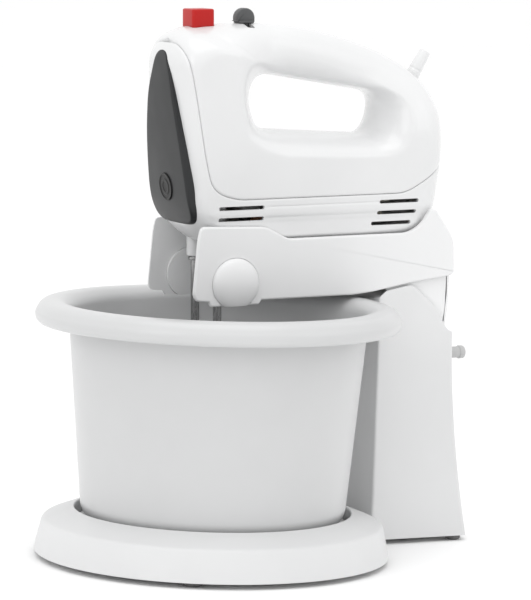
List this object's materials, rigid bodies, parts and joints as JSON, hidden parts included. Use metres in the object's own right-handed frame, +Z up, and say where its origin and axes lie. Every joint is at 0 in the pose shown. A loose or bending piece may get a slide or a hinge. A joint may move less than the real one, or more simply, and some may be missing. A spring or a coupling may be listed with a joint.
{
  "type": "stand mixer",
  "caption": "Hand mixer lying in the tilting arm of a bowl stand, with wire whisks over a turning bowl.",
  "frame": {"origin": "centre of the whole object's footprint, on the table", "axes": "+X from the mixer's nose to the column, +Y to the side that the arm is offset to, +Z up"},
  "size_m": [0.3126, 0.2326, 0.3478],
  "materials": {
    "stand_white": "satin white moulded plastic",
    "gloss_white": "glossy white moulded plastic",
    "milky_white": "smooth milky white plastic",
    "dark_grey": "satin dark grey plastic",
    "signal_red": "glossy red plastic",
    "steel": "bright steel",
    "rubber": "grey rubber",
    "copper": "enamelled copper winding",
    "laminated_steel": "stacked steel sheet",
    "natural_nylon": "unpainted nylon",
    "switch_body": "black switch plastic"
  },
  "bodies": {
    "stand": {"base_shell": "stand_white", "base_plate": "stand_white", "base_foot_1": "rubber", "base_foot_2": "rubber", "base_foot_3": "rubber", "base_screw_1": "steel", "base_screw_2": "steel", "base_screw_3": "steel", "turntable_glide_ring": "natural_nylon", "turntable_spindle": "steel", "column_shell": "stand_white", "column_plate": "stand_white", "column_foot_near": "rubber", "column_foot_far": "rubber", "column_screw_near": "steel", "column_screw_far": "steel", "hinge_pin": "steel"},
    "turntable": {"turntable": "stand_white", "bowl": "milky_white"},
    "arm": {"arm_cradle": "stand_white", "arm_cover": "stand_white"},
    "near_release": {"release_button_near": "gloss_white"},
    "far_release": {"release_button_far": "gloss_white"},
    "tilt_release": {"tilt_button": "stand_white", "tilt_catch": "steel"},
    "mixer": {"motor_housing": "gloss_white", "handle_shell": "gloss_white", "front_panel": "dark_grey", "front_badge": "dark_grey", "motor_stator": "laminated_steel", "field_coil_lower": "copper", "field_coil_upper": "copper", "bearing_bracket_front": "laminated_steel", "bearing_bracket_rear": "laminated_steel", "bearing_front": "steel", "bearing_rear": "steel", "brush_near": "switch_body", "brush_far": "switch_body", "control_frame": "natural_nylon", "speed_switch": "switch_body", "eject_spring": "steel", "strain_relief": "gloss_white"},
    "eject": {"eject_button": "signal_red", "ejector_yoke": "natural_nylon"},
    "speed_lever": {"speed_lever": "dark_grey"},
    "armature": {"armature_shaft": "steel", "armature_core": "laminated_steel", "commutator": "copper", "cooling_fan": "natural_nylon"},
    "near_drive": {"worm_gear_near": "natural_nylon", "spindle_sleeve_near": "gloss_white"},
    "far_drive": {"worm_gear_far": "natural_nylon", "spindle_sleeve_far": "gloss_white"},
    "near_whisk": {"whisk_shaft_near": "steel", "whisk_wires_near": "steel"},
    "far_whisk": {"whisk_shaft_far": "steel", "whisk_wires_far": "steel"}
  },
  "joints": [
    {"name": "turntable_spin", "type": "hinge", "parent": "stand", "child": "turntable", "pos_m": [-0.04, 0, 0], "axis": [0, 0, 1], "continuous": true},
    {"name": "arm_tilt", "type": "hinge", "parent": "stand", "child": "arm", "pos_m": [0.101, 0.042, 0.16], "axis": [0, 1, 0], "range_deg": [0, 45]},
    {"name": "near_release_press", "type": "slide", "parent": "arm", "child": "near_release", "axis": [0, 1, 0], "range_m": [0, 0.003], "stiffness_N_per_m": 300, "springref_m": -0.004},
    {"name": "far_release_press", "type": "slide", "parent": "arm", "child": "far_release", "axis": [0, -1, 0], "range_m": [0, 0.003], "stiffness_N_per_m": 300, "springref_m": -0.004},
    {"name": "tilt_release_press", "type": "slide", "parent": "stand", "child": "tilt_release", "axis": [-1, 0, 0], "range_m": [0, 0.003], "stiffness_N_per_m": 300, "springref_m": -0.004},
    {"name": "mixer_lift", "type": "slide", "parent": "arm", "child": "mixer", "axis": [-0.0332, 0, 0.9995], "range_m": [0, 0.04]},
    {"name": "eject_press", "type": "slide", "parent": "mixer", "child": "eject", "axis": [0.0332, 0, -0.9995], "range_m": [0, 0.005], "stiffness_N_per_m": 300, "springref_m": -0.004, "deforming": ["eject_spring"]},
    {"name": "speed_select", "type": "slide", "parent": "mixer", "child": "speed_lever", "axis": [0, 1, 0], "range_m": [-0.008, 0.008]},
    {"name": "motor_spin", "type": "hinge", "parent": "mixer", "child": "armature", "pos_m": [0.02863, 0.042, 0.23044], "axis": [0.9995, 0, 0.0332], "continuous": true},
    {"name": "near_drive_spin", "type": "hinge", "parent": "mixer", "child": "near_drive", "pos_m": [-0.03021, 0.0255, 0.19447], "axis": [-0.0332, 0, 0.9995], "continuous": true},
    {"name": "far_drive_spin", "type": "hinge", "parent": "mixer", "child": "far_drive", "pos_m": [-0.03021, 0.0585, 0.19447], "axis": [-0.0332, 0, 0.9995], "continuous": true},
    {"name": "near_whisk_pull", "type": "slide", "parent": "near_drive", "child": "near_whisk", "axis": [0.0332, 0, -0.9995], "range_m": [0, 0.006]},
    {"name": "far_whisk_pull", "type": "slide", "parent": "far_drive", "child": "far_whisk", "axis": [0.0332, 0, -0.9995], "range_m": [0, 0.006]}
  ],
  "couplings": [
    {"joint": "near_drive_spin", "follows": "motor_spin", "ratio": 0.05},
    {"joint": "far_drive_spin", "follows": "motor_spin", "ratio": -0.05}
  ]
}
